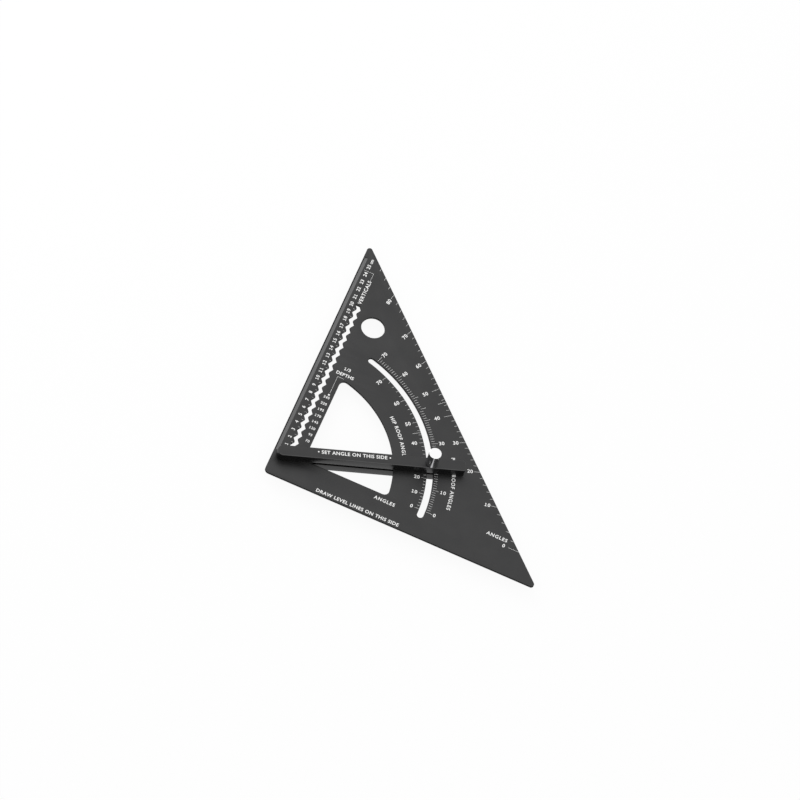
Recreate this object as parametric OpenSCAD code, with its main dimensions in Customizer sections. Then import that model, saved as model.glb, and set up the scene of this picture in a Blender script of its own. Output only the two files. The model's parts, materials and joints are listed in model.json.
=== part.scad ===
// Rafter square: a triangular blade with a two-bar arm that swings over a degree scale and locks with a knob.
// Design frame: heel corner of the blade at X = Y = 0, seat edge along +X, plumb edge along +Y,
// underside of the blade at Z = 0. in_frame() then moves everything to the middle of its footprint.

/* [Blade] */
// Length of each leg of the blade, between sharp corners
leg = 307; // [296:0.5:330]
// Thickness of the blade plate
blade_t = 3; // [2.5:0.1:4]
// Radius of the blade's right-angled heel corner
heel_r = 5; // [1:0.5:8]
// Radius of the blade's two sharp tips
corner_r = 3; // [1:0.5:6]
// Radius of the hang hole
hang_r = 12.5; // [8:0.1:15]
// Hang hole centre, from the plumb edge
hang_x = 40; // [36:0.5:45]
// Hang hole centre, from the seat edge
hang_y = 214; // [210:0.5:225]

/* [Marking bevel] */
// Flat land left along the plumb edge
bevel_land = 1.3; // [0.8:0.1:2]
// Where the bevel meets the face, from the plumb edge
bevel_in = 4.6; // [3:0.1:4.8]
// Depth of the bevel at the land
bevel_depth = 1.6; // [0.6:0.1:2]
// Lower end of the bevel, from the seat edge
bevel_start = 30.5; // [24:0.5:32]
// Upper end of the bevel, from the seat edge
bevel_end = 290; // [270:0.5:292]

/* [Marking slot] */
// Distance from one marking notch to the next
notch_pitch = 10; // [8:0.1:10]
// Number of marking notches
notch_count = 20; // [10:1:20]
// Bottom of the notches, from the plumb edge
notch_x = 12.9; // [12.5:0.1:15.5]
// How far each tooth stands out past its notches
tooth_depth = 3.2; // [1:0.1:4]
// Distance along the edge from a notch to the tip of its tooth
tooth_rise = 5.5; // [2.5:0.1:6.5]
// Width of the slot across the plumb edge
mark_w = 5.2; // [4:0.1:6]

/* [Window] */
// Left side of the quadrant window, from the plumb edge
window_x = 33; // [30:0.5:40]
// Lower side of the quadrant window, from the seat edge
window_y = 31.3; // [28:0.1:40]
// Radius of the window's round side, about the pivot
window_r = 117.1; // [100:0.1:125]
// Fillet in the window's corners
window_fillet = 5.5; // [2:0.5:8]

/* [Arc slot] */
// Radius of the arc slot's middle line, about the pivot
arc_r = 155.7; // [148:0.1:165]
// Width of the arc slot
arc_w = 6.8; // [6.5:0.1:7.6]
// Arm angle at the upper end of the arc slot
arc_end = 74; // [60:0.5:75]

/* [Arm] */
// Pivot axis, from the plumb edge
pivot_x = 10; // [8.3:0.1:11]
// Pivot axis, from the seat edge
pivot_y = 26.2; // [22:0.1:27]
// Angle of the arm above the seat edge
arm_angle = 21.7; // [0:0.1:60]
// Width of both bars
arm_w = 12.2; // [12:0.1:14]
// Distance from the pivot to the outer end of the bars
arm_reach = 191; // [185:0.5:205]
// Height of the upper bar
upper_h = 10.1; // [8.5:0.1:12]
// Height of the lower bar
lower_h = 9.8; // [7.5:0.1:11]
// Bevel along the outer edges of the bars
arm_bevel = 0.6; // [0.3:0.1:1.2]
// Radius of the upright corners at the outer end of the bars
arm_corner = 2; // [1:0.1:3]
// Clear gap between each bar and the blade
face_gap = 0.1; // [0.05:0.01:0.2]

/* [Pivot] */
// Outer radius of the pivot bush
bush_r = 3.5; // [3:0.1:3.6]
// Radial clearance of the bush in the blade and of the stud in its insert
run_gap = 0.05; // [0.02:0.01:0.1]
// Radial clearance of screws in plain holes
hole_gap = 0.15; // [0.1:0.05:0.3]
// Shank radius of the pivot screw
screw_r = 2; // [1.5:0.1:2.2]
// Head radius of the pivot screw
screw_head_r = 3.9; // [3.5:0.1:4.4]
// How deep the head lies under the lower bar's face
screw_sunk = 0.3; // [0.1:0.1:0.6]
// Depth that the screw reaches into the upper bar
screw_grip = 6; // [4:0.1:7]
// Space left past the end of a screw in its blind hole
blind_gap = 0.8; // [0.4:0.1:1.2]
// Width across the flats of the screw's hexagon socket
socket_af = 2.5; // [2:0.1:3]
// Depth of the hexagon socket
socket_depth = 1.6; // [1:0.1:2]
// Outer radius of the slip washers
slip_r = 5.4; // [4.5:0.1:5.6]
// Thickness of the slip washers
slip_t = 0.5; // [0.3:0.05:0.8]
// Gap between a slip washer and the blade
slip_gap = 0.03; // [0.02:0.01:0.05]

/* [Lock] */
// Radius of the knob
knob_r = 6.5; // [6:0.1:8]
// Height of the knob
knob_h = 18.8; // [15:0.1:24]
// Edge rounding of the knob
knob_edge = 0.3; // [0.2:0.1:1.5]
// Radius of the threaded stud
stud_r = 2.5; // [2:0.1:2.5]
// Depth of the stud in the knob
stud_grip = 9; // [6:0.1:12]
// Outer radius of the knob washer
washer_r = 5.8; // [4:0.1:6]
// Thickness of the knob washer
washer_t = 0.8; // [0.5:0.1:1.2]
// Gap between the guide sleeve and each side of the arc slot
sleeve_gap = 0.2; // [0.1:0.05:0.3]
// How much shorter the guide sleeve is than the blade is thick
sleeve_short = 0.4; // [0.2:0.1:0.8]
// Outer radius of the threaded insert
insert_r = 3.6; // [3.2:0.1:4.2]
// Flange radius of the threaded insert
flange_r = 4.8; // [4.4:0.1:5.4]
// Flange thickness of the threaded insert
flange_t = 1; // [0.6:0.1:1.5]
// How far the stud's end stays above the lower bar's underside
stud_short = 0.5; // [0.2:0.1:1]
// Radial gap round the pressed pieces
press_gap = 0.02; // [0.01:0.01:0.04]

/* [Hidden] */
$fn = 96;

// Extra length of every cutter, so that no cut ends flush with a face
over = 1;
// Half angle of the two sharp corners, and how far back from such a corner its round edge starts
tip_half = 45 / 2;
tip_back = corner_r / tan(tip_half);
// Footprint of the blade, from its rounded tips
foot = leg - tip_back + corner_r;
// Reading edge of the arm at zero degrees, where the ruler along the plumb edge starts
ruler_zero = pivot_y + arm_w / 2;
upper_z = blade_t + face_gap;
lower_z = -face_gap - lower_h;
knob_z = upper_z + upper_h + washer_t;
stud_z = lower_z + stud_short;
stud_top = knob_z + stud_grip;
// Countersunk heads have 90 degree cones
screw_head_h = screw_head_r - screw_r;
screw_z = lower_z + screw_sunk;
slip_recess = slip_t + slip_gap - face_gap;
sleeve_r = arc_w / 2 - sleeve_gap;

module in_frame() {
    translate([-foot / 2, -foot / 2, -lower_z])
        children();
}

// Local frame of the arm: pivot axis at the origin, +X along the bars
module on_arm() {
    in_frame()
        translate([pivot_x, pivot_y, 0])
            rotate([0, 0, arm_angle])
                children();
}

module ring(outer, inner, height) {
    difference() {
        cylinder(r = outer, h = height);
        translate([0, 0, -over])
            cylinder(r = inner, h = height + 2 * over);
    }
}

// Triangle with round corners: a polygon through the tangent points and a circle in each corner
module blade_outline() {
    tip = leg - tip_back;
    lean = corner_r * sin(45);
    polygon([
        [heel_r, 0], [tip, 0], [tip + lean, corner_r + lean],
        [corner_r + lean, tip + lean], [0, tip], [0, heel_r]
    ]);
    for (corner = [[tip, corner_r], [corner_r, tip]])
        translate(corner)
            circle(r = corner_r);
    translate([heel_r, heel_r])
        circle(r = heel_r);
}

// What a fillet takes out of a corner: the wedge from its centre past both tangent points, less the circle
module fillet_waste(centre, from, to) {
    wide = 4 * window_fillet;
    middle = (from + to) / 2;
    translate(centre)
        difference() {
            polygon([
                [0, 0], wide * [cos(from), sin(from)],
                2 * wide * [cos(middle), sin(middle)], wide * [cos(to), sin(to)]
            ]);
            circle(r = window_fillet);
        }
}

// Quadrant window: the part of a circle about the pivot that lies beyond two straight sides
module window_outline() {
    inner_r = window_r - window_fillet;
    left = window_x + window_fillet;
    low = window_y + window_fillet;
    rise = asin((low - pivot_y) / inner_r);
    lean = acos((left - pivot_x) / inner_r);
    difference() {
        intersection() {
            translate([pivot_x, pivot_y])
                circle(r = window_r);
            translate([window_x, window_y])
                square(window_r);
        }
        fillet_waste([left, low], 180, 270);
        fillet_waste([pivot_x + inner_r * cos(rise), low], -90, rise);
        fillet_waste([left, pivot_y + inner_r * sin(lean)], lean, 180);
    }
}

// Zig-zag marking slot: a saw-tooth line with a notch at each pitch, and the same line one slot width away
module marking_outline() {
    tooth_fall = notch_pitch - tooth_rise;
    first = [notch_x + tooth_depth / 2, ruler_zero + notch_pitch - tooth_fall / 2];
    saw = [
        first,
        for (n = [1:notch_count - 1]) each [
            [notch_x, ruler_zero + n * notch_pitch],
            [notch_x + tooth_depth, ruler_zero + n * notch_pitch + tooth_rise]
        ],
        [notch_x, ruler_zero + notch_count * notch_pitch]
    ];
    last = len(saw) - 1;
    polygon([
        each saw,
        for (k = [last:-1:0]) saw[k] + [mark_w, 0]
    ]);
}

// Arc slot about the pivot, closed by a half-round end at zero degrees and at its upper end
module arc_cut() {
    depth = blade_t + 2 * over;
    translate([pivot_x, pivot_y, -over]) {
        rotate_extrude(angle = arc_end)
            translate([arc_r - arc_w / 2, 0])
                square([arc_w, depth]);
        for (end = [[0, 180], [arc_end, 0]])
            rotate([0, 0, end[0]])
                translate([arc_r, 0, 0])
                    rotate([0, 0, end[1]])
                        rotate_extrude(angle = 180)
                            square([arc_w / 2, depth]);
    }
}

// Bevel beside the land of the plumb edge, as a prism along that edge
module bevel_cut() {
    slope = bevel_depth / (bevel_in - bevel_land);
    translate([0, bevel_end, 0])
        rotate([90, 0, 0])
            linear_extrude(bevel_end - bevel_start)
                polygon([
                    [-over, blade_t - bevel_depth], [bevel_land, blade_t - bevel_depth],
                    [bevel_in + over / slope, blade_t + over], [-over, blade_t + over]
                ]);
}

module blade() {
    color([0.27, 0.27, 0.27])
        in_frame()
            difference() {
                linear_extrude(blade_t)
                    blade_outline();
                translate([0, 0, -over])
                    linear_extrude(blade_t + 2 * over) {
                        window_outline();
                        marking_outline();
                    }
                arc_cut();
                bevel_cut();
                translate([hang_x, hang_y, -over])
                    cylinder(r = hang_r, h = blade_t + 2 * over);
                translate([pivot_x, pivot_y, -over])
                    cylinder(r = bush_r + run_gap, h = blade_t + 2 * over);
            }
}

// Half of a bar's cross-section, from its middle plane out, bevelled at the edge away from the blade
module half_section(height) {
    half = arm_w / 2;
    polygon([[0, 0], [half, 0], [half, height - arm_bevel], [half - arm_bevel, height], [0, height]]);
}

// One upright corner of the outer end, square outside and round inside
module corner_waste(height) {
    translate([arm_reach - arm_corner, arm_w / 2 - arm_corner, -over])
        difference() {
            cube([arm_corner + over, arm_corner + over, height + 2 * over]);
            translate([0, 0, -over])
                cylinder(r = arm_corner, h = height + 4 * over);
        }
}

// Bar with a full-round end about the pivot and a straight run to the outer end, standing on Z = 0
module bar(height) {
    rotate([0, 0, 90])
        rotate_extrude(angle = 180)
            half_section(height);
    difference() {
        for (side = [0, 1])
            mirror([0, side, 0])
                rotate([90, 0, 90])
                    linear_extrude(arm_reach)
                        half_section(height);
        for (side = [0, 1])
            mirror([0, side, 0])
                corner_waste(height);
    }
}

module upper_arm() {
    color([0.27, 0.27, 0.27])
        on_arm()
            difference() {
                translate([0, 0, upper_z])
                    bar(upper_h);
                translate([0, 0, upper_z - over])
                    cylinder(r = screw_r + press_gap, h = over + screw_grip + blind_gap);
                translate([0, 0, upper_z - over])
                    cylinder(r = slip_r + press_gap, h = over + slip_recess);
                translate([arc_r, 0, upper_z - over])
                    cylinder(r = stud_r + hole_gap, h = upper_h + 2 * over);
            }
}

module lower_arm() {
    color([0.27, 0.27, 0.27])
        on_arm()
            difference() {
                translate([0, 0, -face_gap])
                    mirror([0, 0, 1])
                        bar(lower_h);
                translate([0, 0, lower_z - over])
                    cylinder(r = screw_r + hole_gap, h = lower_h + 2 * over);
                translate([0, 0, lower_z - over])
                    cylinder(r = screw_head_r, h = over + screw_sunk);
                translate([0, 0, screw_z])
                    cylinder(r1 = screw_head_r, r2 = screw_r, h = screw_head_h);
                translate([0, 0, -face_gap - slip_recess])
                    cylinder(r = slip_r + press_gap, h = slip_recess + over);
                translate([arc_r, 0, lower_z - over])
                    cylinder(r = insert_r + press_gap, h = lower_h + 2 * over);
                translate([arc_r, 0, lower_z - over])
                    cylinder(r = flange_r + press_gap, h = over + flange_t);
            }
}

// Sleeve between the floors of the two washer recesses
module pivot_bush() {
    height = blade_t + 2 * (face_gap + slip_recess);
    color([0.78, 0.62, 0.30])
        on_arm()
            translate([0, 0, -face_gap - slip_recess])
                ring(bush_r, screw_r + hole_gap, height);
}

module pivot_screw() {
    color([0.62, 0.62, 0.64])
        on_arm()
            difference() {
                union() {
                    translate([0, 0, screw_z])
                        cylinder(r1 = screw_head_r, r2 = screw_r, h = screw_head_h);
                    translate([0, 0, screw_z])
                        cylinder(r = screw_r, h = upper_z + screw_grip - screw_z);
                }
                translate([0, 0, screw_z - over])
                    cylinder(r = socket_af / sqrt(3), h = over + socket_depth, $fn = 6);
            }
}

module pivot_washers() {
    color([0.90, 0.90, 0.86])
        on_arm()
            for (z = [blade_t + slip_gap, -slip_gap - slip_t])
                translate([0, 0, z])
                    ring(slip_r, bush_r + run_gap, slip_t);
}

// Stands on the lower bar, a little shorter than the blade, so that the bars can still clamp it
module slot_sleeve() {
    color([0.78, 0.62, 0.30])
        on_arm()
            translate([arc_r, 0, -face_gap])
                ring(sleeve_r, stud_r + run_gap, blade_t - sleeve_short);
}

module thread_insert() {
    color([0.78, 0.62, 0.30])
        on_arm()
            translate([arc_r, 0, lower_z])
                difference() {
                    union() {
                        cylinder(r = insert_r, h = lower_h);
                        cylinder(r = flange_r, h = flange_t);
                    }
                    translate([0, 0, -over])
                        cylinder(r = stud_r + run_gap, h = lower_h + 2 * over);
                }
}

module knob_washer() {
    color([0.62, 0.62, 0.64])
        on_arm()
            translate([arc_r, 0, upper_z + upper_h])
                ring(washer_r, stud_r + run_gap, washer_t);
}

module lock_stud() {
    color([0.62, 0.62, 0.64])
        on_arm()
            translate([arc_r, 0, stud_z])
                cylinder(r = stud_r, h = stud_top - stud_z);
}

// Turned knob: round upper and lower edges, and a blind hole for the stud
module lock_knob() {
    color([0.88, 0.88, 0.90])
        on_arm()
            translate([arc_r, 0, knob_z])
                difference() {
                    rotate_extrude() {
                        translate([0, knob_edge])
                            square([knob_r, knob_h - 2 * knob_edge]);
                        square([knob_r - knob_edge, knob_h]);
                        for (z = [knob_edge, knob_h - knob_edge])
                            translate([knob_r - knob_edge, z])
                                circle(r = knob_edge);
                    }
                    translate([0, 0, -over])
                        cylinder(r = stud_r + press_gap, h = over + stud_grip + blind_gap);
                }
}

blade();
upper_arm();
lower_arm();
pivot_bush();
pivot_screw();
pivot_washers();
slot_sleeve();
thread_insert();
knob_washer();
lock_stud();
lock_knob();
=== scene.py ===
# Rafter square with a swinging two-bar arm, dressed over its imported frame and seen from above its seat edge.
import json
import math
import bpy
import numpy as np
from mathutils import Matrix, Vector
from mathutils.geometry import tessellate_polygon


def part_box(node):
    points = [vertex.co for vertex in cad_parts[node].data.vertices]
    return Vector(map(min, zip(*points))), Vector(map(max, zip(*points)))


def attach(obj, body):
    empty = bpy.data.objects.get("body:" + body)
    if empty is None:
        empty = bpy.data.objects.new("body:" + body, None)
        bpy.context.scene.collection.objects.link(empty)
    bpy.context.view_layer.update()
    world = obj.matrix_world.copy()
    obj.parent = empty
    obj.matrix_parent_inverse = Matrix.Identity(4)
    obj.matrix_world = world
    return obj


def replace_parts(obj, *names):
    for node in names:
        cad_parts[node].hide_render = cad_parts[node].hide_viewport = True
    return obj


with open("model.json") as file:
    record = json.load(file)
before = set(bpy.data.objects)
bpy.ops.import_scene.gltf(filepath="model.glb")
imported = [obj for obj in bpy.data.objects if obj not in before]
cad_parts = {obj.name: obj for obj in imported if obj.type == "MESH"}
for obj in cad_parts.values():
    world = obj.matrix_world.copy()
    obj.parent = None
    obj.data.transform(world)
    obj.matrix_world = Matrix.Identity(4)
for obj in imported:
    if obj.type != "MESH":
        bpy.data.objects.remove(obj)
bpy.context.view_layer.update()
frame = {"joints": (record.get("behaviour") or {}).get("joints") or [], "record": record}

# Blade: one plate of aluminium, sawn to a right triangle, slotted for marking and for the lock stud, and
# anodised dark grey. Its plumb edge is bevelled down to the work, and the walls of its cuts and the land of
# the bevel are painted near black: painted shade.
mm = 0.001
joints = {joint["name"]: joint for joint in frame["joints"]}
mounts = {mount["name"]: mount for mount in frame["record"]["mounts"]}
blade_low, blade_high = (np.array(corner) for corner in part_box("blade"))
heel = blade_low[:2]
foot = blade_high[0] - blade_low[0]
under_z, face_z = blade_low[2], blade_high[2]
pivot = np.array(joints["arm_swing"]["pos_m"][:2])
stud = np.array(joints["knob_turn"]["pos_m"][:2])
arc_r = np.linalg.norm(stud - pivot)
arm_angle = math.degrees(math.atan2(*(stud - pivot)[::-1]))
arm_w = 12.2 * mm
reading_edge = arm_w / 2
ruler_zero = pivot[1] + reading_edge
heel_r, corner_r = 5 * mm, 3 * mm
plate_edge, round_steps = 0.2 * mm, 5
sharp_angle = math.radians(24)


def arc(centre, radius, start, stop, steps=12):
    """Points on a circle: centre plus radius times (cos a, sin a), with a from start to stop in degrees."""
    a = np.radians(np.linspace(start, stop, steps + 1))
    return np.asarray(centre) + radius * np.stack((np.cos(a), np.sin(a)), axis=1)


def circle(centre, radius, steps, sweep=-360):
    """A whole circle as a closed loop, clockwise as a hole runs, or anticlockwise with a sweep of 360."""
    return arc(centre, radius, 0, sweep, steps)[:-1]


def inward(loop):
    """Mitred normals to the left of a closed loop: two side normals' sum over one plus their dot product."""
    side = np.roll(loop, -1, axis=0) - loop
    side /= np.linalg.norm(side, axis=1, keepdims=True)
    after = np.stack((-side[:, 1], side[:, 0]), axis=1)
    before = np.roll(after, 1, axis=0)
    return (before + after) / (1 + np.sum(before * after, axis=1, keepdims=True))


def rounded(low, high, low_edge, high_edge):
    """Section of a wall with quarter-round edges: how far inside its loop, and how high, each row lies."""
    turn = np.radians(np.linspace(0, 90, round_steps + 1))
    back, rise = 1 - np.sin(turn), 1 - np.cos(turn)
    inset = np.concatenate((low_edge * back, high_edge * back[::-1]))
    height = np.concatenate((low + low_edge * rise, high - high_edge * rise[::-1]))
    return inset, height


def carried(loop, normals, inset, height):
    """A section carried round a loop: each row is the loop, moved by inset times its normals, at a height."""
    inset, height = np.broadcast_arrays(inset, height)
    inset = np.broadcast_to(inset.reshape(len(inset), -1), (len(inset), len(loop)))
    height = np.broadcast_to(height.reshape(len(height), -1), inset.shape)
    plan = loop + inset[..., None] * normals
    return np.concatenate((plan, height[..., None]), axis=2)


def wall(loop, low, high, low_edge=plate_edge, high_edge=plate_edge):
    """A wall with rounded edges round a loop that has the metal on its left."""
    return carried(loop, inward(loop), *rounded(low, high, low_edge, high_edge))


def show(name, points, faces, finishes, body, smooth=True):
    """A mesh object from points and faces, with its finishes, riding on a body."""
    mesh = bpy.data.meshes.new(name)
    mesh.from_pydata(points.tolist(), [], faces)
    mesh.polygons.foreach_set("use_smooth", np.broadcast_to(smooth, len(faces)).tolist())
    mesh.set_sharp_from_angle(angle=sharp_angle)
    for finish in finishes:
        mesh.materials.append(finish)
    mesh.update()
    piece = bpy.data.objects.new(name, mesh)
    bpy.context.collection.objects.link(piece)
    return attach(piece, body)


def filled(loops, up):
    """Triangles that fill the flat area between loops, counted through the loops, facing up or down."""
    flat = np.concatenate(loops)[:, :2]
    fill = np.array(tessellate_polygon([[Vector(point) for point in loop] for loop in loops]))
    first, second, third = (flat[fill[:, k]] for k in range(3))
    one_side, next_side = second - first, third - first
    faces_up = one_side[:, 0] * next_side[:, 1] - one_side[:, 1] * next_side[:, 0] > 0
    fill[faces_up != up] = fill[faces_up != up][:, ::-1]
    return fill


def slab(name, walls, finishes, body, paints=()):
    """A solid between walls: rows that end at the lowest or highest level bound its two flat faces.

    A row that ends in between, such as the floor of a blind hole, closes on itself.
    paints gives a finish number to each strip of each wall.
    """
    low = min(rows[0, 0, 2] for rows in walls)
    high = max(rows[-1, 0, 2] for rows in walls)
    points, faces, smooth, finish, ends = [], [], [], [], {False: [], True: []}
    start = 0
    for number, rows in enumerate(walls):
        index = start + np.arange(rows[..., 0].size).reshape(rows.shape[:2])
        beside = np.roll(index, -1, axis=1)
        strips = np.stack((index[:-1], beside[:-1], beside[1:], index[1:]), axis=-1)
        paint = paints[number] if paints else np.zeros(strips.shape[:2], int)
        points.append(rows.reshape(-1, 3))
        faces += strips.reshape(-1, 4).tolist()
        smooth += [True] * paint.size
        finish += paint.ravel().tolist()
        for up, row, ring in ((False, rows[0], index[0]), (True, rows[-1], index[-1])):
            if math.isclose(row[0, 2], high if up else low, abs_tol=1e-9):
                ends[up].append((row, ring))
            else:
                faces.append((ring if up else ring[::-1]).tolist())
                smooth.append(False)
                finish.append(0)
        start += index.size
    for up, loops in ends.items():
        fill = filled([row for row, _ in loops], up)
        faces += np.concatenate([ring for _, ring in loops])[fill].tolist()
        smooth += [False] * len(fill)
        finish += [0] * len(fill)
    piece = show(name, np.concatenate(points), faces, finishes, body, np.array(smooth))
    piece.data.polygons.foreach_set("material_index", finish)
    return piece


def new_finish(name):
    """A node material with its tree and its Principled shader."""
    finish = bpy.data.materials.new(name)
    finish.use_nodes = True
    return finish, finish.node_tree, finish.node_tree.nodes["Principled BSDF"]


def noise(tree, scale, detail, stretch=(1, 1, 1)):
    """Noise on Object coordinates: scale is in cells per metre, and stretch squeezes it along an axis."""
    place = tree.nodes.new("ShaderNodeTexCoord")
    mapping = tree.nodes.new("ShaderNodeMapping")
    mapping.inputs["Scale"].default_value = stretch
    pattern = tree.nodes.new("ShaderNodeTexNoise")
    pattern.inputs["Scale"].default_value = scale
    pattern.inputs["Detail"].default_value = detail
    tree.links.new(place.outputs["Object"], mapping.inputs["Vector"])
    tree.links.new(mapping.outputs["Vector"], pattern.inputs["Vector"])
    return pattern.outputs["Fac"]


def vary(tree, pattern, socket, low, high):
    """Drives a number from a pattern, between low and high over the range that noise mostly fills."""
    noise_low, noise_high = 0.3, 0.7
    spread = tree.nodes.new("ShaderNodeMapRange")
    spread.inputs["From Min"].default_value = noise_low
    spread.inputs["From Max"].default_value = noise_high
    spread.inputs["To Min"].default_value = low
    spread.inputs["To Max"].default_value = high
    tree.links.new(pattern, spread.inputs["Value"])
    tree.links.new(spread.outputs["Result"], socket)


def tint(tree, pattern, socket, first, second):
    """Drives a colour from a pattern, between two colours."""
    blend = tree.nodes.new("ShaderNodeMix")
    blend.data_type = "RGBA"
    colours = [entry for entry in blend.inputs if entry.type == "RGBA"]
    colours[0].default_value = (*first, 1)
    colours[1].default_value = (*second, 1)
    tree.links.new(pattern, blend.inputs["Factor"])
    tree.links.new([entry for entry in blend.outputs if entry.type == "RGBA"][0], socket)


def grained(tree, shader, pattern, depth):
    """Raises the surface by a pattern, depth in metres from its lowest to its highest."""
    bump = tree.nodes.new("ShaderNodeBump")
    bump.inputs["Distance"].default_value = depth
    tree.links.new(pattern, bump.inputs["Height"])
    tree.links.new(bump.outputs["Normal"], shader.inputs["Normal"])


def anodised(name, dark, light, roughness):
    """Dyed anodised aluminium: grey metal with faint clouds in the dye and a fine blasted grain."""
    dye_clouds, gloss_patches, blast_grain = 60, 900, 5000
    roughness_swing, grain_depth = 0.04, 0.006 * mm
    finish, tree, shader = new_finish(name)
    shader.inputs["Metallic"].default_value = 1
    tint(tree, noise(tree, dye_clouds, detail=4), shader.inputs["Base Color"], dark, light)
    vary(tree, noise(tree, gloss_patches, detail=3), shader.inputs["Roughness"],
         roughness - roughness_swing, roughness + roughness_swing)
    grained(tree, shader, noise(tree, blast_grain, detail=2), grain_depth)
    return finish


dye_dark, dye_light = (0.052, 0.052, 0.053), (0.064, 0.064, 0.064)
blade_grey = anodised("blade_grey", dye_dark, dye_light, roughness=0.4)
# Painted shade: a near-black finish for the walls of the cuts and for the bevel's land, where shade falls on
# them.
painted_shade_dark, painted_shade_light = (0.004, 0.004, 0.004), (0.012, 0.012, 0.012)
painted_shade_gloss, saw_marks = 0.15, (1, 1, 8)
painted_shade_black, painted_shade_tree, painted_shade_shader = new_finish("painted_shade_black")
painted_shade_shader.inputs["Specular IOR Level"].default_value = painted_shade_gloss
painted_shade_clouds = noise(painted_shade_tree, scale=400, detail=3)
tint(painted_shade_tree, painted_shade_clouds, painted_shade_shader.inputs["Base Color"], painted_shade_dark, painted_shade_light)
painted_shade_streaks = noise(painted_shade_tree, scale=1500, detail=3, stretch=saw_marks)
vary(painted_shade_tree, painted_shade_streaks, painted_shade_shader.inputs["Roughness"], low=0.55, high=0.75)

# The outline runs anticlockwise from the heel corner, and the holes clockwise.
near, far = heel + corner_r, heel + foot - corner_r
corners = np.concatenate((
    arc(heel + heel_r, heel_r, 180, 270),
    arc((far[0], near[1]), corner_r, -90, 45),
    arc((near[0], far[1]), corner_r, 45, 180),
))
# On the plumb edge each end of the bevel has two columns, the plain edge and the bevel, a cutter's run-out
# apart. The bevel's own columns are the inner two of these four.
bevel_land, bevel_in, bevel_depth, bevel_runout = 1.3 * mm, 4.6 * mm, 1.6 * mm, 1.2 * mm
bevel_start, bevel_end = heel[1] + 30.5 * mm, heel[1] + 290 * mm
bevel_ys = np.array([bevel_end + bevel_runout, bevel_end, bevel_start, bevel_start - bevel_runout])
plumb_edge = np.stack((np.full(bevel_ys.size, heel[0]), bevel_ys), axis=1)
bevel_columns = slice(-3, -1)
outline = np.concatenate((corners, plumb_edge))
outline_normals = np.concatenate((inward(corners), np.tile((1.0, 0.0), (bevel_ys.size, 1))))
inset, height = (np.repeat(row[:, None], len(outline), axis=1)
                 for row in rounded(under_z, face_z, plate_edge, plate_edge))
# The rows of a section from top_row upwards form its upper edge.
top_row = round_steps + 1
slope = np.linspace(0, 1, round_steps)
bevel_insets = np.append(0, bevel_land + slope * (bevel_in - bevel_land))
bevel_heights = np.append(face_z - bevel_depth, face_z - (1 - slope) * bevel_depth)
inset[top_row:, bevel_columns] = bevel_insets[:, None]
height[top_row:, bevel_columns] = bevel_heights[:, None]

window_x, window_y = heel[0] + 33 * mm, heel[1] + 31.3 * mm
window_r, window_fillet = 117.1 * mm, 5.5 * mm
inner_r = window_r - window_fillet
fillet_x, fillet_y = window_x + window_fillet, window_y + window_fillet
# The round side meets the fillets at these angles about the pivot.
low_turn = math.degrees(math.asin((fillet_y - pivot[1]) / inner_r))
high_turn = math.degrees(math.acos((fillet_x - pivot[0]) / inner_r))
low_fillet = (pivot[0] + inner_r * math.cos(math.radians(low_turn)), fillet_y)
high_fillet = (fillet_x, pivot[1] + inner_r * math.sin(math.radians(high_turn)))
window = np.concatenate((
    arc((fillet_x, fillet_y), window_fillet, -90, -180),
    arc(high_fillet, window_fillet, 180, high_turn),
    arc(pivot, window_r, high_turn, low_turn, steps=96)[1:-1],
    arc(low_fillet, window_fillet, low_turn, -90),
))

arc_w, arc_end = 6.8 * mm, 74
arc_steps, arc_end_steps = 120, 24
low_end = pivot + arc_r * np.array((1, 0))
high_end = arc(pivot, arc_r, arc_end, arc_end, steps=0)[0]
arc_slot = np.concatenate((
    arc(pivot, arc_r + arc_w / 2, arc_end, 0, arc_steps),
    arc(low_end, arc_w / 2, 0, -180, arc_end_steps)[1:-1],
    arc(pivot, arc_r - arc_w / 2, 0, arc_end, arc_steps),
    arc(high_end, arc_w / 2, arc_end + 180, arc_end, arc_end_steps)[1:-1],
))

# The marking slot lies between a saw-tooth line and its copy. The line starts half way along the side below
# its first notch.
notch_pitch, notch_count, notch_x = 10 * mm, 20, heel[0] + 12.9 * mm
tooth_depth, tooth_rise, mark_w = 3.2 * mm, 5.5 * mm, 5.2 * mm
notch_y = ruler_zero + notch_pitch * np.arange(1, notch_count + 1)
notches = np.stack((np.full(notch_count, notch_x), notch_y), axis=1)
teeth = notches + np.array((tooth_depth, tooth_rise))
first_side = (notches[0] + teeth[0] - np.array((0, notch_pitch))) / 2
saw = np.concatenate(([first_side], np.stack((notches, teeth), axis=1).reshape(-1, 2)[:-1]))
marking_slot = np.concatenate((saw, saw[::-1] + np.array((mark_w, 0))))

hang = mounts["hang_hole"]
hang_hole = circle(hang["pos_m"][:2], hang["dims"]["r_mm"] * mm, steps=96)
bush_hole_r = 3.55 * mm
bush_hole = circle(pivot, bush_hole_r, steps=48)
openings = (window, arc_slot, marking_slot, hang_hole, bush_hole)
blade_walls = [carried(outline, outline_normals, inset, height)]
blade_walls += [wall(loop, under_z, face_z) for loop in openings]
# The strip between the two rounded edges of each wall, and the land of the bevel, take the near-black painted
# shade.
painted_shade_strips = (np.arange(2 * top_row - 1) == top_row - 1).astype(int)
blade_paints = [np.repeat(painted_shade_strips[:, None], rows.shape[1], axis=1) for rows in blade_walls]
blade_paints[0][top_row, bevel_columns.start] = 1
blade = slab("blade_plate", blade_walls, (blade_grey, painted_shade_black), "blade", blade_paints)
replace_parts(blade, "blade")

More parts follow.
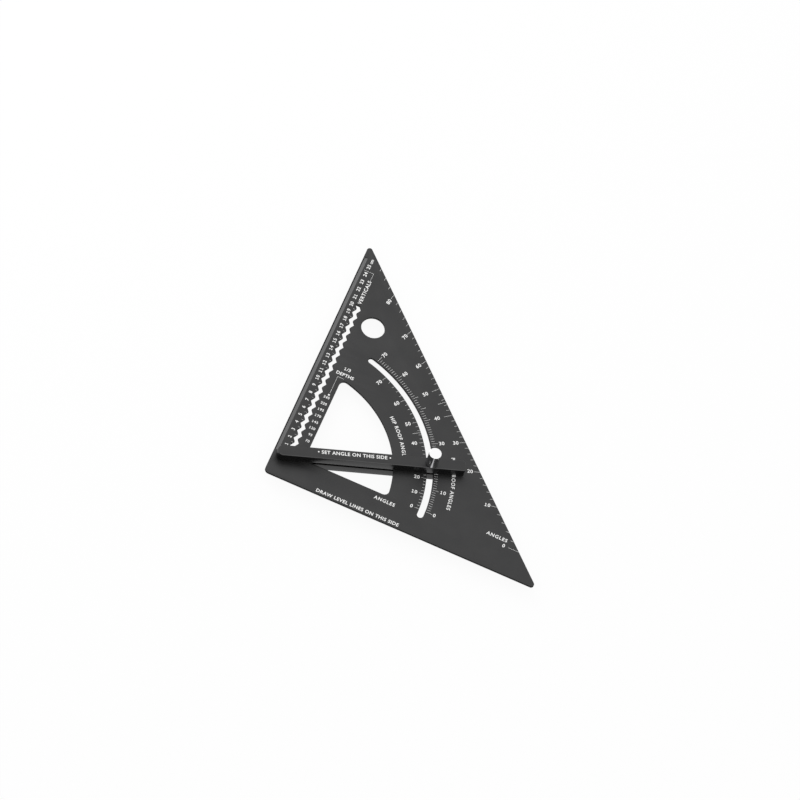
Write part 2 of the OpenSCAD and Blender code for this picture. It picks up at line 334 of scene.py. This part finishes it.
# Ruler: white screen print along the plumb edge, a number for each centimetre beside its notch, with fine
# lines between them. The print is a thin film that stands on the plate.
ink_sunk, ink_proud = 0.01 * mm, 0.03 * mm
print_low, print_high = face_z - ink_sunk, face_z + ink_proud
line_w = 0.23 * mm
ink_dull, ink_bright = (0.93, 0.93, 0.92), (0.98, 0.98, 0.97)
print_white, ink_tree, ink_shader = new_finish("print_white")
ink_clouds = noise(ink_tree, scale=700, detail=3)
tint(ink_tree, ink_clouds, ink_shader.inputs["Base Color"], ink_dull, ink_bright)
ink_patches = noise(ink_tree, scale=2500, detail=2)
vary(ink_tree, ink_patches, ink_shader.inputs["Roughness"], low=0.5, high=0.65)
grained(ink_tree, ink_shader, noise(ink_tree, scale=6000, detail=2), depth=0.004 * mm)


def strokes(name, starts, ends, width=line_w):
    """Printed lines on the blade: each is a bar, as thick as the print, from a start to an end."""
    starts, ends = np.reshape(starts, (-1, 2)), np.reshape(ends, (-1, 2))
    along = (ends - starts) / np.linalg.norm(ends - starts, axis=1, keepdims=True)
    side = width / 2 * np.stack((-along[:, 1], along[:, 0]), axis=1)
    around = np.stack((starts - side, ends - side, ends + side, starts + side), axis=1)
    lower = np.insert(around, 2, print_low, axis=2)
    upper = np.insert(around, 2, print_high, axis=2)
    bar = np.array(((3, 2, 1, 0), (4, 5, 6, 7), (0, 1, 5, 4), (1, 2, 6, 5), (2, 3, 7, 6), (3, 0, 4, 7)))
    faces = (bar + 8 * np.arange(len(starts))[:, None, None]).reshape(-1, 4)
    points = np.concatenate((lower, upper), axis=1).reshape(-1, 3)
    return show(name, points, faces.tolist(), (print_white,), "blade", False)


def letters(words, tall, spread=1.0, align="CENTER"):
    """Points and triangles of a line of print about its own middle, tall metres high at its capitals.

    capital is the height of the font's capitals at size one, and bolder thickens its strokes.
    """
    capital, bolder, curve_steps = 0.682, 0.02, 3
    line = bpy.data.curves.new("line", "FONT")
    # The printed figure one has a flag and a foot, as the monospaced one does.
    line.body = words.replace("1", "\N{MATHEMATICAL MONOSPACE DIGIT ONE}")
    line.size = tall / capital
    line.offset = bolder * line.size
    line.extrude = (print_high - print_low) / 2
    line.resolution_u = curve_steps
    line.align_x = align
    line.space_character = spread
    holder = bpy.data.objects.new("line", line)
    bpy.context.collection.objects.link(holder)
    bpy.context.view_layer.update()
    mesh = bpy.data.meshes.new_from_object(holder.evaluated_get(bpy.context.evaluated_depsgraph_get()))
    mesh.calc_loop_triangles()
    points = np.empty(3 * len(mesh.vertices))
    mesh.vertices.foreach_get("co", points)
    triangles = np.empty(3 * len(mesh.loop_triangles), int)
    mesh.loop_triangles.foreach_get("vertices", triangles)
    bpy.data.objects.remove(holder)
    bpy.data.curves.remove(line)
    bpy.data.meshes.remove(mesh)
    return points.reshape(-1, 3) - np.array((0, tall / 2, 0)), triangles.reshape(-1, 3)


def set_line(words, tall, middle, angle=0, spread=1.0, align="CENTER"):
    """A line of print moved to its middle, or its end, and turned to read along an angle in degrees."""
    points, triangles = letters(words, tall, spread, align)
    a = math.radians(angle)
    turn = np.array(((math.cos(a), math.sin(a)), (-math.sin(a), math.cos(a))))
    return np.concatenate((points[:, :2] @ turn + middle, points[:, 2:]), axis=1), triangles


def lettering(name, lines, body="blade", level=(print_low + print_high) / 2):
    """Several lines of print as one piece, with their middles at one level."""
    counts = np.cumsum([0] + [len(points) for points, _ in lines])
    points = np.concatenate([points for points, _ in lines]) + np.array((0, 0, level))
    faces = np.concatenate([triangles + count for (_, triangles), count in zip(lines, counts)])
    return show(name, points, faces.tolist(), (print_white,), body, False)


numbers = np.arange(1, 26)
number_x, number_tall, number_spread = heel[0] + 9.3 * mm, 3.5 * mm, 1.14
one_figure_back, two_figures_back = 1.35 * mm, 1.7 * mm
number_y = ruler_zero + notch_pitch * numbers - np.where(numbers < 10, one_figure_back, two_figures_back)
unit_tall, unit_in, unit_above = 3.2 * mm, 0.4 * mm, 5.6 * mm
unit_place = (number_x + unit_in, ruler_zero + notch_pitch * numbers[-1] + unit_above)
lettering("ruler_numbers", [
    set_line(str(n), number_tall, (number_x, y), angle=90, spread=number_spread)
    for n, y in zip(numbers, number_y)
] + [set_line("cm", unit_tall, unit_place, angle=90)])
half_rise, half_length, half_w = 3.6 * mm, 1.9 * mm, 0.18 * mm
half_starts = notches[:-1] + np.array((0, half_rise))
strokes("half_ticks", half_starts, half_starts + np.array((half_length, 0)), half_w)

# Depth table: the numbers beside the window, each set a third of its own value above the ruler's zero, with
# a fine line that leads from their heading to the topmost one. It is the same white screen print.


def from_heel(places):
    """Places on the blade: the heel corner plus these millimetres along the seat and plumb edges."""
    return heel + np.array(places) * mm


depth_x, depth_tall, depth_spread = heel[0] + 30.1 * mm, 2.8 * mm, 1.14
depth_zero = ruler_zero - 1.2 * mm
depths = range(70, 246, 25)
lettering("depth_numbers", [
    set_line(str(n), depth_tall, (depth_x, depth_zero + n / 3 * mm), spread=depth_spread, align="RIGHT")
    for n in depths
])
table_tall = 3.6 * mm
lettering("depth_heading", [
    set_line("1/3", table_tall, from_heel((34.2, 154)), spread=1.1),
    set_line("DEPTHS", table_tall, from_heel((34.4, 146.5)), spread=1.07),
])
leader = from_heel(((35, 141.5), (28, 141.5), (28, 119)))
strokes("depth_leader", leader[:-1], leader[1:])
dot_tall = 5 * mm
lettering("depth_dot", [set_line("•", dot_tall, from_heel((27.8, 116.6)))])

# Plumb heading: the word beside the upper end of the ruler, with a fine line that leads round from it to
# the plumb edge. It is the same white screen print.
plumb_leader = from_heel(((6.4, 275), (16.9, 275), (16.9, 265.8)))
strokes("plumb_leader", plumb_leader[:-1], plumb_leader[1:])
plumb_tall = 3.7 * mm
lettering("plumb_heading", [
    set_line("VERTICALS", plumb_tall, from_heel((16.6, 249.6)), angle=90, spread=1.2)
])

# Angle scales: three rows of lines and numbers in the same white screen print, which the arm's upper edge
# is read against. Each line lies where that edge comes, so it runs past the pivot at half the arm's width.


def on_edge(angle, along):
    """Points on the arm's reading edge when the arm stands at these angles, along metres from the pivot."""
    a = np.radians(angle)
    ray, across = np.stack((np.cos(a), np.sin(a)), axis=-1), np.stack((-np.sin(a), np.cos(a)), axis=-1)
    return pivot + reading_edge * across + np.asarray(along)[..., None] * ray


def ranked(marks, at_45, at_tens, others):
    """A length for each mark of a scale: one at 45 degrees, one at the tens and one for the rest."""
    return np.select((marks == 45, marks % 10 == 0), (at_45, at_tens), others)


label_tall, label_spread = 3.9 * mm, 1.1
roof_marks = np.arange(71)
roof_start = ranked(roof_marks, 162.4 * mm, 160.1 * mm, 160.1 * mm)
roof_end = ranked(roof_marks, 168 * mm, 166.7 * mm, 163.9 * mm)
roof_label = 167.8 * mm
strokes("roof_ticks", on_edge(roof_marks, roof_start), on_edge(roof_marks, roof_end))
# A hip rafter runs at 45 degrees to the plain ones, so its slope is theirs over the root of two.
hip_marks = np.append(np.arange(0, 71, 2), 45)
hip_angle = np.degrees(np.arctan(np.tan(np.radians(hip_marks)) / math.sqrt(2)))
hip_start = ranked(hip_marks, 143 * mm, 146.9 * mm, 148.9 * mm)
hip_end, hip_label = 151.8 * mm, 145 * mm
strokes("hip_ticks", on_edge(hip_angle, hip_start), on_edge(hip_angle, np.full(hip_marks.size, hip_end)))
# The third scale ends a little short of the long edge, where x and y from the heel add up to the sharp leg.
# Its line at zero is the longest, and those at 40, 45 and 50 are longer than at the other tens.
edge_marks = np.append(np.arange(0, 87, 2), 45)
edge_gap, tip_half = 0.5 * mm, math.radians(22.5)
sharp_leg = foot + corner_r / math.tan(tip_half) - corner_r
edge_base = on_edge(edge_marks, np.zeros(edge_marks.size)) - heel
edge_run = np.cos(np.radians(edge_marks)) + np.sin(np.radians(edge_marks))
edge_end = (sharp_leg - edge_base.sum(axis=1)) / edge_run - edge_gap
edge_length = np.select(
    (edge_marks == 0, np.isin(edge_marks, (40, 45, 50)), edge_marks % 10 == 0),
    (12 * mm, 9 * mm, 6.2 * mm), 3.5 * mm)
edge_label_gap = np.select(
    (edge_marks == 0, np.isin(edge_marks, (40, 50))),
    (4.9 * mm, 7.8 * mm), 4.1 * mm)
edge_label = edge_end - edge_length - edge_label_gap
strokes("edge_ticks", on_edge(edge_marks, edge_end - edge_length), on_edge(edge_marks, edge_end))
roof_labels = (0, 10, 20, 30, 60, 70)
lettering("roof_numbers", [
    set_line(str(k), label_tall, on_edge(k, roof_label), k, label_spread, "LEFT") for k in roof_labels
])
lettering("hip_numbers", [
    set_line(str(k), label_tall, on_edge(angle, hip_label), angle, label_spread, "RIGHT")
    for k, angle in zip(hip_marks, hip_angle) if k % 10 == 0
])
lettering("edge_numbers", [
    set_line(str(k), label_tall, on_edge(k, along), k, label_spread)
    for k, along in zip(edge_marks, edge_label) if k % 10 == 0
])


def bent_line(words, tall, radius, middle_angle, spread=1.0):
    """A line of print bent clockwise round the pivot: x turns by x over the radius, y adds to the radius."""
    points, triangles = letters(words, tall, spread)
    a = math.radians(middle_angle) - points[:, 0] / radius
    r = radius + points[:, 1]
    bent = pivot + r[:, None] * np.stack((np.cos(a), np.sin(a)), axis=1)
    return np.concatenate((bent, points[:, 2:]), axis=1), triangles


heading_tall = 3.8 * mm
hip_heading_r, roof_heading_r = 129.1 * mm, 180.6 * mm
lettering("scale_headings", [
    bent_line("HIP ROOF ANGLES", heading_tall, hip_heading_r, middle_angle=36.2, spread=1.2),
    bent_line("PLAIN ROOF ANGLES", heading_tall, roof_heading_r, middle_angle=16.2, spread=1.24),
    set_line("ANGLES", heading_tall, from_heel((126.3, 24.4)), spread=1.2),
    set_line("ANGLES", heading_tall, from_heel((247.3, 39.2)), spread=1.2),
])
lettering("seat_heading", [
    set_line("DRAW LEVEL LINES ON THIS SIDE", heading_tall, from_heel((103.6, 3.9)), spread=1.11)
])

# Arm bars: two flat bars of the same anodised aluminium, one above the blade and one below, held together
# by the pivot screw and the lock stud. They are full-round about the pivot and square at the outer end,
# and the upper bar's front top edge carries a lighter finish: a painted highlight.
# Painted highlight: a lighter grey for the upper bar's front top edge, where light catches it.
painted_highlight_dark, painted_highlight_light = (0.085, 0.085, 0.086), (0.098, 0.098, 0.098)
arm_grey = anodised("arm_grey", dye_dark, dye_light, roughness=0.34)
painted_highlight_grey = anodised("painted_highlight_grey", painted_highlight_dark, painted_highlight_light, roughness=0.3)
arm_reach, arm_corner, arm_bevel = 191 * mm, 2 * mm, 0.6 * mm
upper_low, upper_high = (corner[2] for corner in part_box("upper_arm"))
lower_low, lower_high = (corner[2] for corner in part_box("lower_arm"))


def on_arm(points):
    """Points along and across the arm from the pivot, moved to where the arm lies at rest."""
    a = math.radians(arm_angle)
    return pivot + np.asarray(points) @ np.array(((math.cos(a), math.sin(a)), (-math.sin(a), math.cos(a))))


def revolved(centre, radii, heights, steps=64, sweep=-360):
    """A section of radii and heights carried round its centre, clockwise as a hole unless swept 360."""
    ring = circle((0, 0), 1, steps, sweep)
    plan = np.asarray(centre) + np.asarray(radii)[:, None, None] * ring
    return np.concatenate((plan, np.repeat(np.asarray(heights)[:, None, None], steps, axis=1)), axis=2)


end_steps, corner_steps = 48, 12
end_x, end_y = arm_reach - arm_corner, reading_edge - arm_corner
bar_outline = on_arm(np.concatenate((
    arc((0, 0), reading_edge, 90, 270, end_steps),
    arc((end_x, -end_y), arm_corner, -90, 0, corner_steps),
    arc((end_x, end_y), arm_corner, 0, 90, corner_steps),
)))
recess_r, recess_depth = 5.42 * mm, 0.43 * mm
screw_r, screw_hole_r, screw_head_r = 2 * mm, 2.15 * mm, 3.9 * mm
screw_sunk, screw_grip, blind_gap = 0.3 * mm, 6 * mm, 0.8 * mm
stud_hole_r = 2.65 * mm
insert_r, flange_r, flange_t = 3.6 * mm, 4.8 * mm, 1 * mm
press_gap = 0.02 * mm
upper_recess = upper_low + recess_depth
upper_walls = [
    wall(bar_outline, upper_low, upper_high, plate_edge, arm_bevel),
    revolved(pivot, [recess_r, recess_r, screw_r + press_gap, screw_r + press_gap],
             [upper_low, upper_recess, upper_recess, upper_low + screw_grip + blind_gap]),
    revolved(stud, [stud_hole_r, stud_hole_r], [upper_low, upper_high]),
]
# The painted highlight on the front top edge starts three quarters of the way round the pivot end and stops as
# far round the next corner.
painted_highlight_columns = slice(end_steps * 3 // 4, end_steps + 1 + corner_steps * 3 // 4)
upper_paints = [np.zeros((len(rows) - 1, rows.shape[1]), int) for rows in upper_walls]
upper_paints[0][top_row:, painted_highlight_columns] = 1
upper_bar = slab("upper_bar", upper_walls, (arm_grey, painted_highlight_grey), "arm", upper_paints)
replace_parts(upper_bar, "upper_arm")
head_z, lower_recess = lower_low + screw_sunk, lower_high - recess_depth
cone_z = head_z + screw_head_r - screw_hole_r
lower_bar = slab("lower_bar", [
    wall(bar_outline, lower_low, lower_high, arm_bevel, plate_edge),
    revolved(pivot, [screw_head_r, screw_head_r, screw_hole_r, screw_hole_r, recess_r, recess_r],
             [lower_low, head_z, cone_z, lower_recess, lower_recess, lower_high]),
    revolved(stud, [flange_r + press_gap, flange_r + press_gap, insert_r + press_gap, insert_r + press_gap],
             [lower_low, lower_low + flange_t, lower_low + flange_t, lower_high]),
], (arm_grey,), "arm")
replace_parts(lower_bar, "lower_arm")
arm_print = upper_high + (print_low + print_high) / 2 - face_z
arm_heading_place = on_arm(np.array((74.4, 1.5)) * mm)
lettering("arm_heading", [
    set_line("• SET ANGLE ON THIS SIDE •", heading_tall, arm_heading_place, arm_angle, spread=1.09)
], "arm", arm_print)

# Pivot: a brass bush turns in the blade between two nylon slip washers, and a zinc-plated countersunk socket
# screw from below draws the bars together on it.


def turned(name, radii, heights, centre, finish, body, steps=96):
    """A turned piece: a closed section of radii and heights carried anticlockwise round its centre."""
    rows = revolved(centre, radii, heights, steps, sweep=360)
    index = np.arange(rows[..., 0].size).reshape(rows.shape[:2])
    beside = np.roll(index, -1, axis=1)
    faces = np.stack((index, beside, np.roll(beside, -1, axis=0), np.roll(index, -1, axis=0)), axis=-1)
    return show(name, rows.reshape(-1, 3), faces.reshape(-1, 4).tolist(), (finish,), body)


def chamfered(inner, outer, low, high, chamfer):
    """Radii and heights of a ring's section with four chamfered edges, from the lower outer edge upwards."""
    radii = [outer - chamfer, outer, outer, outer - chamfer, inner + chamfer, inner, inner, inner + chamfer]
    levels = [low, low + chamfer, high - chamfer, high]
    return radii, levels + levels[::-1]


def ring_for(node, name, inner, finish, body, centre, chamfer):
    """A chamfered ring in a node's place, with its outer radius and its height from the node's box."""
    low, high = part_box(node)
    outer = (high[0] - low[0]) / 2
    piece = turned(name, *chamfered(inner, outer, low[2], high[2], chamfer), centre, finish, body)
    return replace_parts(piece, node)


def bright_metal(name, first, second, roughness, depth):
    """Bare or plated metal: two close tones, turning marks in the roughness and a fine relief."""
    turning_marks, roughness_swing = (1, 1, 6), 0.2
    finish, tree, shader = new_finish(name)
    shader.inputs["Metallic"].default_value = 1
    tint(tree, noise(tree, scale=500, detail=4), shader.inputs["Base Color"], first, second)
    vary(tree, noise(tree, scale=1200, detail=3, stretch=turning_marks), shader.inputs["Roughness"],
         roughness * (1 - roughness_swing), roughness * (1 + roughness_swing))
    grained(tree, shader, noise(tree, scale=3000, detail=2, stretch=turning_marks), depth)
    return finish


turned_grain = 0.004 * mm
brass_dull, brass_bright = (0.66, 0.47, 0.19), (0.76, 0.58, 0.26)
zinc_dull, zinc_bright = (0.5, 0.5, 0.53), (0.6, 0.6, 0.61)
brass = bright_metal("turned_brass", brass_dull, brass_bright, roughness=0.28, depth=turned_grain)
plated = bright_metal("zinc_plate", zinc_dull, zinc_bright, roughness=0.34, depth=turned_grain)
nylon_dull, nylon_bright = (0.78, 0.78, 0.73), (0.86, 0.86, 0.82)
nylon_glow, nylon_depth = 0.15, (1 * mm, 1 * mm, 0.8 * mm)
nylon, nylon_tree, nylon_shader = new_finish("natural_nylon")
nylon_shader.inputs["Subsurface Weight"].default_value = nylon_glow
nylon_shader.inputs["Subsurface Radius"].default_value = nylon_depth
nylon_clouds = noise(nylon_tree, scale=600, detail=3)
tint(nylon_tree, nylon_clouds, nylon_shader.inputs["Base Color"], nylon_dull, nylon_bright)
nylon_patches = noise(nylon_tree, scale=1500, detail=2)
vary(nylon_tree, nylon_patches, nylon_shader.inputs["Roughness"], low=0.4, high=0.55)
sleeve_chamfer = 0.15 * mm
bush = ring_for("pivot_bush", "pivot_bush_sleeve", screw_hole_r, brass, "arm", pivot, sleeve_chamfer)
slip_t, slip_r, slip_chamfer = 0.5 * mm, 5.4 * mm, 0.08 * mm
slip_low, slip_high = (corner[2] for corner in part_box("pivot_washers"))
for washer_name, washer_z in (("slip_washer_upper", slip_high - slip_t), ("slip_washer_lower", slip_low)):
    slip_section = chamfered(bush_hole_r, slip_r, washer_z, washer_z + slip_t, slip_chamfer)
    slip_washer = turned(washer_name, *slip_section, pivot, nylon, "arm")
    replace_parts(slip_washer, "pivot_washers")
screw_low, screw_high = (corner[2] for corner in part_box("pivot_screw"))
socket_af, socket_depth, head_rim, screw_point = 2.5 * mm, 1.6 * mm, 0.12 * mm, 0.4 * mm
head_h = screw_head_r - screw_r
shank = revolved(
    pivot,
    [screw_head_r - 2 * head_rim, screw_head_r - head_rim, screw_r, screw_r, screw_r - screw_point],
    [screw_low, screw_low + head_rim, screw_low + head_h, screw_high - screw_point, screw_high])[:, ::-1]
hexagon = circle(pivot, socket_af / math.sqrt(3), steps=6)
socket = carried(hexagon, np.zeros((6, 2)), np.zeros(2), np.array((screw_low, screw_low + socket_depth)))
screw = slab("pivot_socket_screw", [shank, socket], (plated,), "arm")
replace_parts(screw, "pivot_screw")

# Lock: a brass insert pressed into the lower bar takes the stud's thread, a brass sleeve keeps the stud in
# the middle of the arc slot, and a zinc-plated washer lies under the knob.
sleeve_hole_r, washer_chamfer, insert_chamfer = 2.55 * mm, 0.12 * mm, 0.2 * mm
sleeve = ring_for("slot_sleeve", "slot_guide_sleeve", sleeve_hole_r, brass, "arm", stud, sleeve_chamfer)
knob_washer = ring_for(
    "knob_washer", "knob_plain_washer", sleeve_hole_r, plated, "washer", stud, washer_chamfer)
insert_low, insert_high = (corner[2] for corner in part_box("thread_insert"))
flange_top = insert_low + flange_t
insert_foot, insert_lip = insert_low + insert_chamfer, insert_high - insert_chamfer
insert = turned(
    "pressed_insert",
    [flange_r - insert_chamfer, flange_r, flange_r, insert_r, insert_r, insert_r - insert_chamfer,
     sleeve_hole_r + insert_chamfer, sleeve_hole_r, sleeve_hole_r, sleeve_hole_r + insert_chamfer],
    [insert_low, insert_foot, flange_top, flange_top, insert_lip, insert_high,
     insert_high, insert_lip, insert_foot, insert_low],
    stud, brass, "arm")
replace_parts(insert, "thread_insert")

# Stud and knob: the stud is a zinc-plated threaded rod fixed in the knob. The knob is turned from bar with
# small round edges and bright plated, and its side is painted darker than its top: painted shade.
stud_low, stud_high = (corner[2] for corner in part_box("lock_stud"))
stud_r, thread_pitch, thread_depth = 2.5 * mm, 0.8 * mm, 0.42 * mm
rows_per_turn, thread_columns, plain_share = 8, 48, 0.6
thread_rows = int((stud_high - stud_low) / thread_pitch * rows_per_turn)
thread_rise = np.linspace(0, stud_high - stud_low, thread_rows)
around_stud = np.arange(thread_columns) / thread_columns
# The radius falls and rises once a turn, and runs out to a plain end within a pitch of both ends.
phase = (thread_rise[:, None] / thread_pitch - around_stud) % 1
full_thread = np.clip(np.minimum(thread_rise, thread_rise[-1] - thread_rise) / thread_pitch, 0, 1)[:, None]
thread_r = stud_r - thread_depth * (plain_share * (1 - full_thread) + full_thread * np.abs(2 * phase - 1))
thread = np.stack((
    stud[0] + thread_r * np.cos(2 * math.pi * around_stud),
    stud[1] + thread_r * np.sin(2 * math.pi * around_stud),
    np.broadcast_to(stud_low + thread_rise[:, None], thread_r.shape),
), axis=-1)
threaded_stud = slab("threaded_stud", [thread], (plated,), "knob")
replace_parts(threaded_stud, "lock_stud")
knob_roughness, polish_grain = 0.07, 0.0004 * mm
top_tones = (0.95, 0.95, 0.955), (0.98, 0.98, 0.985)
# Painted shade: the knob's side takes a darker plate colour than its top.
painted_shade_side_tones = (0.42, 0.42, 0.43), (0.47, 0.47, 0.48)
chrome = bright_metal("bright_plate", *top_tones, knob_roughness, polish_grain)
painted_shade_side_plate = bright_metal("painted_shade_side_plate", *painted_shade_side_tones, knob_roughness, polish_grain)
knob_low, knob_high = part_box("lock_knob")
knob_r, knob_edge, knob_hole = (knob_high[0] - knob_low[0]) / 2, 0.2 * mm, 9.8 * mm
knob_walls = [
    wall(circle(stud, knob_r, steps=160, sweep=360), knob_low[2], knob_high[2], knob_edge, knob_edge),
    revolved(stud, [stud_r + press_gap, stud_r + press_gap], [knob_low[2], knob_low[2] + knob_hole]),
]
# The side below the top's round edge takes the painted shade.
knob_paints = [np.ones((len(rows) - 1, rows.shape[1]), int) for rows in knob_walls]
knob_paints[0][top_row:] = 0
knob = slab("turned_knob", knob_walls, (chrome, painted_shade_side_plate), "knob", knob_paints)
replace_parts(knob, "lock_knob")

# Stage: a pale floor under a white studio dome, one soft lamp low behind the plumb edge, and a long lens
# at the photograph's angle.


def background_rays(tree):
    """One for rays from the camera, from gloss and through glass, and zero for the rest."""
    path = tree.nodes.new("ShaderNodeLightPath")
    total = path.outputs["Is Camera Ray"]
    for ray in ("Is Glossy Ray", "Is Transmission Ray"):
        either = tree.nodes.new("ShaderNodeMath")
        either.operation = "MAXIMUM"
        tree.links.new(total, either.inputs[0])
        tree.links.new(path.outputs[ray], either.inputs[1])
        total = either.outputs[0]
    return total


floor_size, floor_white, floor_glow = 30, (0.92, 0.92, 0.92, 1), 0.93
floor_mesh = bpy.data.meshes.new("floor")
floor_corners = [(x * floor_size, y * floor_size, 0) for x, y in ((-1, -1), (1, -1), (1, 1), (-1, 1))]
floor_mesh.from_pydata(floor_corners, [], [(0, 1, 2, 3)])
floor = bpy.data.objects.new("floor", floor_mesh)
bpy.context.collection.objects.link(floor)
floor_paint = bpy.data.materials.new("floor_paint")
floor_paint.use_nodes = True
floor_tree = floor_paint.node_tree
floor_tree.nodes.clear()
matte = floor_tree.nodes.new("ShaderNodeBsdfDiffuse")
matte.inputs["Color"].default_value = floor_white
glow = floor_tree.nodes.new("ShaderNodeEmission")
glow_share = floor_tree.nodes.new("ShaderNodeMath")
glow_share.operation = "MULTIPLY"
glow_share.inputs[1].default_value = floor_glow
floor_blend = floor_tree.nodes.new("ShaderNodeMixShader")
floor_output = floor_tree.nodes.new("ShaderNodeOutputMaterial")
floor_tree.links.new(background_rays(floor_tree), glow_share.inputs[0])
floor_tree.links.new(glow_share.outputs[0], floor_blend.inputs["Fac"])
floor_tree.links.new(matte.outputs[0], floor_blend.inputs[1])
floor_tree.links.new(glow.outputs[0], floor_blend.inputs[2])
floor_tree.links.new(floor_blend.outputs[0], floor_output.inputs["Surface"])
floor_mesh.materials.append(floor_paint)

dome_light, dome_shown = 0.85, 1
world = bpy.data.worlds.new("dome")
bpy.context.scene.world = world
world.use_nodes = True
dome_tree = world.node_tree
dome = dome_tree.nodes["Background"]
dome.inputs["Color"].default_value = (1, 1, 1, 1)
dome_strength = dome_tree.nodes.new("ShaderNodeMapRange")
dome_strength.inputs["To Min"].default_value = dome_light
dome_strength.inputs["To Max"].default_value = dome_shown
dome_tree.links.new(background_rays(dome_tree), dome_strength.inputs["Value"])
dome_tree.links.new(dome_strength.outputs["Result"], dome.inputs["Strength"])

lamp_size, lamp_watts, lamp_distance = 1.2, 13, 2
lamp_side = Vector((-0.684, 0.546, 0.483))
lamp_data = bpy.data.lights.new("soft_lamp", "AREA")
lamp_data.shape = "SQUARE"
lamp_data.size = lamp_size
lamp_data.energy = lamp_watts
lamp = bpy.data.objects.new("soft_lamp", lamp_data)
lamp.location = lamp_side * lamp_distance
lamp.rotation_euler = lamp_side.to_track_quat("Z", "Y").to_euler()
bpy.context.collection.objects.link(lamp)

view_azimuth, view_elevation, view_roll = (math.radians(angle) for angle in (4.15, 57.28, 19.97))
picture_w, picture_px = 825.5 * mm, 800
heel_px = (263.98, 470.41)
lens_mm, sensor_mm, far_clip = 1200, 36, 100
level_axis = Vector((math.cos(view_azimuth), math.sin(view_azimuth), 0))
back = Vector((math.sin(view_azimuth) * math.cos(view_elevation),
               -math.cos(view_azimuth) * math.cos(view_elevation), math.sin(view_elevation)))
upright = back.cross(level_axis)
right = math.cos(view_roll) * level_axis + math.sin(view_roll) * upright
up = math.cos(view_roll) * upright - math.sin(view_roll) * level_axis
camera_data = bpy.data.cameras.new("camera")
camera_data.lens, camera_data.sensor_width = lens_mm, sensor_mm
camera_data.clip_end = far_clip
camera = bpy.data.objects.new("camera", camera_data)
bpy.context.collection.objects.link(camera)
# The heel corner of the blade's face falls on heel_px in a picture of picture_px each way.
heel_face = Vector((*heel, face_z))
right_px, up_px = picture_px / 2 - heel_px[0], heel_px[1] - picture_px / 2
aim = heel_face + (right * right_px + up * up_px) * picture_w / picture_px
distance = picture_w * lens_mm / sensor_mm
axes = Matrix((right, up, back)).transposed().to_4x4()
camera.matrix_world = Matrix.Translation(aim + back * distance) @ axes
bpy.context.scene.camera = camera
bpy.context.scene.view_settings.view_transform = "Standard"
